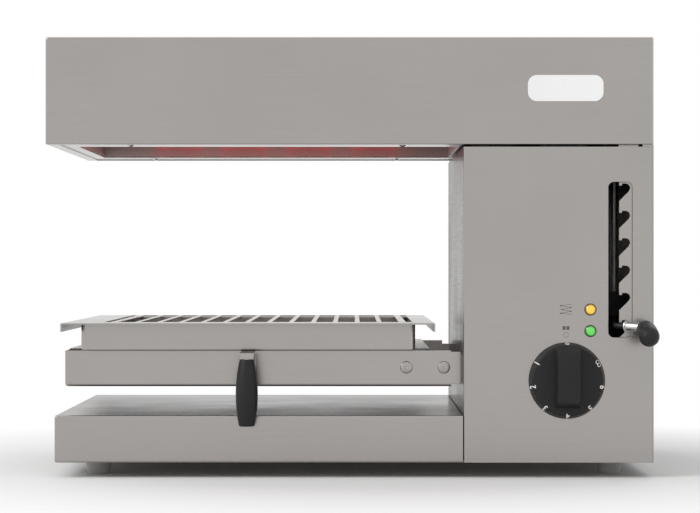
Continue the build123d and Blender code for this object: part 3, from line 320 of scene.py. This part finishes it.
def bright_metal(name, colour, roughness):
    """Turned, ground or plated metal with fine turning lines and a little dulling."""
    tree = Tree(name)
    place = tree.place()
    rings = tree.noise(tree.stretched(place, (60.0, 60.0, 2600.0)), 1.0, 2.0)
    dull = tree.noise(place, 90.0, 4.0)
    tree.link(tree.mix_colour(tree.spread(dull, 0.35, 0.7), colour, shade(colour, 0.82)), "Base Color")
    rough = tree.math("ADD", tree.spread(dull, *NOISE_SPAN, -0.04, 0.09), roughness)
    tree.link(rough, "Roughness")
    tree.set(Metallic=1.0)
    tree.bump(rings, 0.25, 0.00002, tree.soft_edge_normal(0.0004))
    return tree.material


def dark_steel(name, colour, roughness):
    """Blackened steel with a thin, patchy oxide."""
    tree = Tree(name)
    place = tree.place()
    patches = tree.noise(place, 38.0, 5.0, 0.6)
    fine = tree.noise(place, 900.0, 2.0)
    tree.link(tree.mix_colour(tree.spread(patches, 0.42, 0.72), colour, shade(colour, 2.3)), "Base Color")
    rough = tree.math("ADD", tree.spread(patches, *NOISE_SPAN, -0.05, 0.08), roughness)
    tree.link(rough, "Roughness")
    tree.set(Metallic=0.6)
    tree.bump(fine, 0.3, 0.00003, tree.soft_edge_normal(0.0005))
    return tree.material


def moulded(name, colour, roughness, specular, pebble):
    """Moulded plastic or rubber with a fine pebble and handling shine."""
    tree = Tree(name)
    place = tree.place()
    pebbles = tree.noise(place, pebble, 3.0)
    shine = tree.noise(place, 28.0, 4.0)
    tree.link(tree.mix_colour(tree.spread(shine, 0.35, 0.7), colour, shade(colour, 1.25)), "Base Color")
    rough = tree.math("ADD", tree.spread(shine, *NOISE_SPAN, -0.06, 0.07), roughness)
    tree.link(rough, "Roughness")
    tree.set(Specular_IOR_Level=specular)
    tree.bump(pebbles, 0.25, 0.00004, tree.soft_edge_normal(0.0006))
    return tree.material


def heater_tube(name):
    """A sheath that glows dull red, hotter along the middle of its run."""
    tree = Tree(name)
    place = tree.place()
    scale_marks = tree.noise(place, 420.0, 4.0, 0.65)
    heat = tree.noise(tree.stretched(place, (1.0, 14.0, 1.0)), 3.0, 2.0)
    tree.link(tree.mix_colour(scale_marks, *SHEATH_COLOURS), "Base Color")
    tree.link(tree.mix_colour(tree.spread(heat, *NOISE_SPAN), *SHEATH_GLOW), "Emission Color")
    tree.link(tree.spread(heat, 0.25, 0.75, *SHEATH_GLOW_STRENGTH), "Emission Strength")
    tree.set(Roughness=0.7)
    tree.bump(scale_marks, 0.4, 0.00008)
    return tree.material


def glow_painted_sheet(name, colour, tint, centres):
    """Sheet around the elements, with painted red glow where each of them lights it, stronger higher up,
    and painted light toward its lower edge.
    """
    tree = Tree(name)
    place = tree.place()
    parts = tree.add("ShaderNodeSeparateXYZ", {"Vector": place}).outputs
    # Painted glow: red light from each element, painted stronger toward the top.
    glow_mask = 0.0
    for centre in centres:
        off = tree.math("ABSOLUTE", tree.math("SUBTRACT", parts["X"], centre))
        glow_mask = tree.math("MAXIMUM", glow_mask, tree.spread(off, *PAINTED_GLOW_WIDTH, 1.0, 0.0))
    glow_mask = tree.math("MULTIPLY", glow_mask, tree.spread(parts["Z"], *PAINTED_GLOW_HEIGHT, 0.25, 1.0))
    stains = tree.noise(place, 45.0, 4.0)
    plain = tree.mix_colour(stains, shade(colour, 0.92), shade(colour, 1.06))
    # Painted light: the sheet is made lighter toward its lower edge.
    painted_light_near_rim = tree.spread(parts["Z"], *PAINTED_GLOW_HEIGHT, 1.0, 0.0)
    plain = tree.mix_colour(painted_light_near_rim, plain, shade(colour, 1.25))
    tree.link(tree.mix_colour(glow_mask, plain, tint), "Base Color")
    tree.link(tree.spread(stains, *NOISE_SPAN, 0.38, 0.48), "Roughness")
    tree.set(Metallic=0.45)
    tree.bump(stains, 0.15, 0.0002, tree.soft_edge_normal(SHEET_EDGE))
    return tree.material


def lit_lens(name, colour, glow, centre):
    """A grained plastic lens lit from behind, bright in the middle and dark at its rim."""
    tree = Tree(name)
    place = tree.place()
    grain = tree.noise(place, 1500.0, 2.0)
    flat = tree.add("ShaderNodeVectorMath", {0: place}, operation="SUBTRACT")
    flat.inputs[1].default_value = (centre[0], 0.0, centre[1])
    flat = tree.add("ShaderNodeVectorMath", {0: flat.outputs[0]}, operation="MULTIPLY")
    flat.inputs[1].default_value = (1.0, 0.0, 1.0)
    reach = tree.add("ShaderNodeVectorMath", {0: flat.outputs[0]}, operation="LENGTH").outputs["Value"]
    rim = tree.spread(reach, LENS_BRIGHT_RADIUS, LENS_RIM_RADIUS)
    lit = tree.mix_colour(grain, glow, shade(glow, 0.93))
    tree.link(tree.mix_colour(rim, colour, shade(colour, 0.5)), "Base Color")
    tree.link(tree.mix_colour(rim, lit, shade(glow, 0.12)), "Emission Color")
    tree.set(Roughness=0.22, Emission_Strength=1.0, Coat_Weight=0.4, Coat_Roughness=0.08)
    tree.bump(grain, 0.2, 0.00005)
    return tree.material


def enamel(name, colour, roughness):
    """Plain stoved enamel with a slight orange peel."""
    tree = Tree(name)
    place = tree.place()
    peel = tree.noise(place, 260.0, 2.0)
    tint = tree.noise(place, 12.0, 3.0)
    tree.link(tree.mix_colour(tree.spread(tint, *NOISE_SPAN), colour, shade(colour, 0.96)), "Base Color")
    tree.link(tree.math("ADD", tree.spread(tint, *NOISE_SPAN, -0.04, 0.04), roughness), "Roughness")
    tree.bump(peel, 0.15, 0.00006, tree.soft_edge_normal(0.0003))
    return tree.material


def pressed_fibre(name, colour):
    """Pressed mineral fibre board."""
    tree = Tree(name)
    place = tree.place()
    fibres = tree.noise(tree.stretched(place, (300.0, 60.0, 300.0)), 1.0, 5.0, 0.7)
    tree.link(tree.mix_colour(fibres, shade(colour, 0.82), colour), "Base Color")
    tree.set(Roughness=0.95)
    tree.bump(fibres, 0.6, 0.0004)
    return tree.material


def front_centre(node):
    """X and Z of a node's middle, as it is seen from the front."""
    low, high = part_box(node)
    return (low.x + high.x) / 2, (low.z + high.z) / 2


MATERIALS = {
    "stainless": sheet_steel("satin_stainless", STEEL, STEEL_ROUGHNESS),
    "aluminised_steel": sheet_steel("aluminised_sheet", ALUMINISED, 0.42),
    "zinc_steel": bright_metal("zinc_plate", ZINC, 0.22),
    "bright_steel": bright_metal("ground_steel", GROUND_STEEL, 0.30),
    "black_steel": dark_steel("black_oxide", BLACK_OXIDE, 0.42),
    "bronze": bright_metal("sintered_bronze", BRONZE, 0.42),
    "heater_sheath": heater_tube("glowing_sheath"),
    "mineral_board": pressed_fibre("mineral_board", MINERAL_FIBRE),
    "white_plate": enamel("white_enamel", WHITE_ENAMEL, 0.28),
    "foot_rubber": moulded("grey_rubber", GREY_RUBBER, 0.45, specular=0.5, pebble=700.0),
    "black_plastic": moulded("black_phenolic", PHENOLIC, 0.40, specular=0.20, pebble=1100.0),
    "switch_plastic": enamel("glazed_steatite", STEATITE, 0.22),
    "amber_lens": lit_lens("amber_lens", AMBER, AMBER_GLOW, front_centre("heating_lamp_lens")),
    "green_lens": lit_lens("green_lens", GREEN, GREEN_GLOW, front_centre("power_lamp_lens")),
}
# The column's walls: the same stainless, with painted shade in their grazing reflection.
COLUMN_SHADED_STEEL = sheet_steel("column_stainless_shaded", STEEL, STEEL_ROUGHNESS, glance_shade=WALL_GLANCE_SHADE)
ELEMENT_MIDDLES = [front_centre(f"heating_element_{n}")[0] for n in (1, 2, 3, 4)]
OWN_STEEL = {
    "heater_reflector": glow_painted_sheet("reflector_sheet", REFLECTOR, PAINTED_GLOW_COLOUR, ELEMENT_MIDDLES),
    "drip_tray": sheet_steel("tray_stainless", STEEL, STEEL_ROUGHNESS, film_and_shade_top=FILM_AND_SHADE_TOP),
    # The base: the same stainless, with painted shade in its grazing reflection.
    "base_shell": sheet_steel("base_stainless_shaded", STEEL, STEEL_ROUGHNESS, glance_shade=BASE_GLANCE_SHADE),
    "column_shell": COLUMN_SHADED_STEEL,
    "side_cover": COLUMN_SHADED_STEEL,
}

for subpart in frame["record"]["subparts"]:
    node = nodes[subpart["node"]]
    node.data.materials.clear()
    node.data.materials.append(OWN_STEEL.get(subpart["node"], MATERIALS[subpart["material_slot"]]))


# ---------- pieces ----------
def add_piece(name, mesh, body, slot_name, material=None):
    """A finished mesh as a piece that rides on a body."""
    piece = bpy.data.objects.new(name, mesh)
    bpy.context.scene.collection.objects.link(piece)
    mesh.materials.append(material or MATERIALS[slot_name])
    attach(piece, body)


def finish_mesh(name, builder):
    """A mesh from a bmesh, which is then freed."""
    mesh = bpy.data.meshes.new(name)
    bmesh.ops.recalc_face_normals(builder, faces=builder.faces)
    builder.to_mesh(mesh)
    builder.free()
    return mesh


def join(builder, part):
    """One bmesh added to another, and freed."""
    mesh = bpy.data.meshes.new("part")
    part.to_mesh(mesh)
    part.free()
    builder.from_mesh(mesh)
    bpy.data.meshes.remove(mesh)


def text_outline(word, height):
    """The flat mesh of a word, centred, as a bmesh."""
    curve = bpy.data.curves.new("word", "FONT")
    curve.body = word
    curve.size = height / DIGIT_SHARE
    curve.align_x = "CENTER"
    curve.resolution_u = 6
    curve.offset = DIGIT_SWELL
    holder = bpy.data.objects.new("word", curve)
    bpy.context.scene.collection.objects.link(holder)
    bpy.context.view_layer.update()
    mesh = bpy.data.meshes.new_from_object(holder)
    bpy.data.objects.remove(holder)
    builder = bmesh.new()
    builder.from_mesh(mesh)
    bpy.data.meshes.remove(mesh)
    for vertex in builder.verts:
        vertex.co.y -= height / 2
    return builder


def add_ring(builder, centre, radii, width, segments=28):
    """A flat ring in the XY plane, round or oval."""
    rings = []
    for side in (-width / 2, width / 2):
        places = []
        for n in range(segments):
            turn = 2 * math.pi * n / segments
            across = centre[0] + (radii[0] + side) * math.cos(turn)
            along = centre[1] + (radii[1] + side) * math.sin(turn)
            places.append(builder.verts.new((across, along, 0)))
        rings.append(places)
    for n in range(segments):
        after = (n + 1) % segments
        builder.faces.new((rings[0][n], rings[0][after], rings[1][after], rings[1][n]))


def split_long_edges(builder, longest):
    """Halves edges until none is longer than this, or often enough."""
    bmesh.ops.triangulate(builder, faces=builder.faces)
    for _ in range(PRINT_SPLITS):
        long_edges = [edge for edge in builder.edges if edge.calc_length() > longest]
        if not long_edges:
            break
        bmesh.ops.subdivide_edges(builder, edges=long_edges, cuts=1)
        bmesh.ops.triangulate(builder, faces=builder.faces)


def dial_marks():
    """Each mark of the dial: its flat mesh, the ring its middle lies on and its angle."""
    marks = [
        (text_outline(digit, DIGIT_HEIGHT), DIGIT_RING, angle)
        for digit, angle in DIGIT_ANGLES.items()
    ]
    zero = bmesh.new()
    add_ring(zero, (0.0, 0.0), [side / 2 - PRINT_LINE / 2 for side in ZERO_SIZE], PRINT_LINE)
    marks.append((zero, ZERO_RING, 0))
    twin = bmesh.new()
    for shift in (-TWIN_MARK_RADIUS, TWIN_MARK_RADIUS):
        add_ring(twin, (shift, 0.0), (TWIN_MARK_RADIUS, TWIN_MARK_RADIUS), PRINT_LINE)
    marks.append((twin, DIGIT_RING, TWIN_MARK_ANGLE))
    return marks


def dial_print():
    """White figures and marks, laid on the knob as it is seen from the front."""
    knob = nodes["control_knob"].data
    surface = BVHTree.FromPolygons([v.co for v in knob.vertices], [p.vertices for p in knob.polygons])
    centre_x, centre_z = front_centre("control_knob")
    whole = bmesh.new()
    for mark, ring, angle in dial_marks():
        split_long_edges(mark, PRINT_STEP)
        turn = Matrix.Rotation(math.radians(angle), 3, "Z")
        for vertex in mark.verts:
            flat = turn @ Vector((vertex.co.x, vertex.co.y + ring, 0))
            start = Vector((centre_x + flat.x, PANEL_Y - RAY_START, centre_z + flat.y))
            place, normal, _, _ = surface.ray_cast(start, Vector((0, 1, 0)))
            vertex.co = place + normal * PRINT_LIFT
        join(whole, mark)
    add_piece("dial_figures", finish_mesh("dial_figures", whole), "knob", "white_plate")


def panel_strip(builder, first, last, width):
    """A flat bar on the panel between two places."""
    run = Vector(last) - Vector(first)
    side = Vector((-run.y, run.x)).normalized() * width / 2
    corners = (Vector(first) + side, Vector(last) + side, Vector(last) - side, Vector(first) - side)
    builder.faces.new([builder.verts.new((c.x, PANEL_Y - PRINT_LIFT, c.y)) for c in corners])


def panel_ink(name, colour):
    """Printed ink, worn in specks."""
    tree = Tree(name)
    wear = tree.noise(tree.place(), 1400.0, 3.0)
    tree.link(tree.mix_colour(wear, colour, shade(colour, 1.5)), "Base Color")
    tree.set(Roughness=0.6)
    tree.bump(wear, 0.2, 0.00002)
    return tree.material


def panel_symbols():
    """The printed symbols beside the pilot lamps: a heater sign, two bars and a ring."""
    lines = bmesh.new()
    for first, last in zip(ZIGZAG, ZIGZAG[1:]):
        panel_strip(lines, first, last, SYMBOL_LINE)
    ring = bmesh.new()
    add_ring(ring, (0.0, 0.0), (RING_RADIUS, RING_RADIUS), RING_LINE)
    for vertex in ring.verts:
        vertex.co = (RING_CENTRE[0] + vertex.co.x, PANEL_Y - PRINT_LIFT, RING_CENTRE[1] + vertex.co.y)
    join(lines, ring)
    pale = panel_ink("pale_ink", PALE_INK)
    symbols = finish_mesh("panel_line_symbols", lines)
    add_piece("panel_line_symbols", symbols, "casing", "black_plastic", pale)
    bars = bmesh.new()
    for x in BAR_CENTRES:
        half = BAR_SIZE[0] / 2
        panel_strip(bars, (x - half, BAR_HEIGHT), (x + half, BAR_HEIGHT), BAR_SIZE[1])
    dark = panel_ink("dark_ink", DARK_INK)
    symbols = finish_mesh("panel_bar_symbols", bars)
    add_piece("panel_bar_symbols", symbols, "casing", "black_plastic", dark)


dial_print()
panel_symbols()


# ---------- floor, light and camera ----------
def floor():
    """A pale floor that keeps the shadow and fades to white further out."""
    mesh = bpy.data.meshes.new("floor")
    half = FLOOR_SIZE / 2
    corners = ((-half, -half, 0), (half, -half, 0), (half, half, 0), (-half, half, 0))
    mesh.from_pydata(corners, [], [(0, 1, 2, 3)])
    plane = bpy.data.objects.new("floor", mesh)
    bpy.context.scene.collection.objects.link(plane)
    tree = Tree("floor")
    away = tree.add("ShaderNodeVectorMath", {0: tree.place()}, operation="SUBTRACT")
    away.inputs[1].default_value = FLOOR_MIDDLE
    distance = tree.add("ShaderNodeVectorMath", {0: away.outputs[0]}, operation="LENGTH")
    far = tree.spread(distance.outputs["Value"], *FLOOR_FADE, FLOOR_LIFT, 1.0)
    grain = tree.noise(tree.place(), 30.0)
    tree.link(tree.mix_colour(grain, FLOOR_COLOUR, shade(FLOOR_COLOUR, 0.99)), "Base Color")
    tree.set(Roughness=0.8)
    white = tree.add("ShaderNodeEmission")
    white.inputs["Color"].default_value = (*BACKGROUND, 1.0)
    blend = tree.add("ShaderNodeMixShader", {0: far, 1: tree.shader.outputs[0], 2: white.outputs[0]})
    tree.tree.links.new(blend.outputs[0], tree.tree.nodes["Material Output"].inputs["Surface"])
    mesh.materials.append(tree.material)


def world():
    """White to the camera and in reflections, plain ambient light otherwise."""
    sky = bpy.data.worlds.new("studio")
    bpy.context.scene.world = sky
    sky.use_nodes = True
    tree = sky.node_tree
    background = tree.nodes["Background"]
    background.inputs["Color"].default_value = (*BACKGROUND, 1.0)
    rays = tree.nodes.new("ShaderNodeLightPath")
    seen = tree.nodes.new("ShaderNodeMath")
    seen.operation = "MAXIMUM"
    tree.links.new(rays.outputs["Is Camera Ray"], seen.inputs[0])
    tree.links.new(rays.outputs["Is Glossy Ray"], seen.inputs[1])
    shown = tree.nodes.new("ShaderNodeMath")
    shown.operation = "MAXIMUM"
    tree.links.new(seen.outputs[0], shown.inputs[0])
    tree.links.new(rays.outputs["Is Transmission Ray"], shown.inputs[1])
    strength = tree.nodes.new("ShaderNodeMapRange")
    strength.inputs["To Min"].default_value = WORLD_LIGHT
    strength.inputs["To Max"].default_value = 1.0
    tree.links.new(shown.outputs[0], strength.inputs["Value"])
    tree.links.new(strength.outputs["Result"], background.inputs["Strength"])


def lamp(name, place, target, size, power):
    """A square soft light that points at a target."""
    light = bpy.data.lights.new(name, "AREA")
    light.size = size
    light.energy = power
    holder = bpy.data.objects.new(name, light)
    bpy.context.scene.collection.objects.link(holder)
    holder.location = place
    holder.rotation_euler = (Vector(target) - Vector(place)).to_track_quat("-Z", "Y").to_euler()


def camera():
    """The photograph's camera, level and square to the front."""
    lens = bpy.data.cameras.new("camera")
    lens.sensor_fit = "HORIZONTAL"
    lens.sensor_width = SENSOR_MM
    lens.lens = SENSOR_MM * FOCAL_PIXELS / IMAGE_WIDTH
    lens.shift_x = (IMAGE_WIDTH / 2 - VANISHING_POINT[0]) / IMAGE_WIDTH
    lens.shift_y = (VANISHING_POINT[1] - IMAGE_HEIGHT / 2) / IMAGE_WIDTH
    lens.clip_end = 60.0
    holder = bpy.data.objects.new("camera", lens)
    bpy.context.scene.collection.objects.link(holder)
    holder.location = CAMERA_PLACE
    holder.rotation_euler = (math.radians(90), 0, 0)
    bpy.context.scene.camera = holder


floor()
world()
for settings in LAMPS:
    lamp(*settings)
camera()
bpy.context.scene.view_settings.view_transform = "Standard"
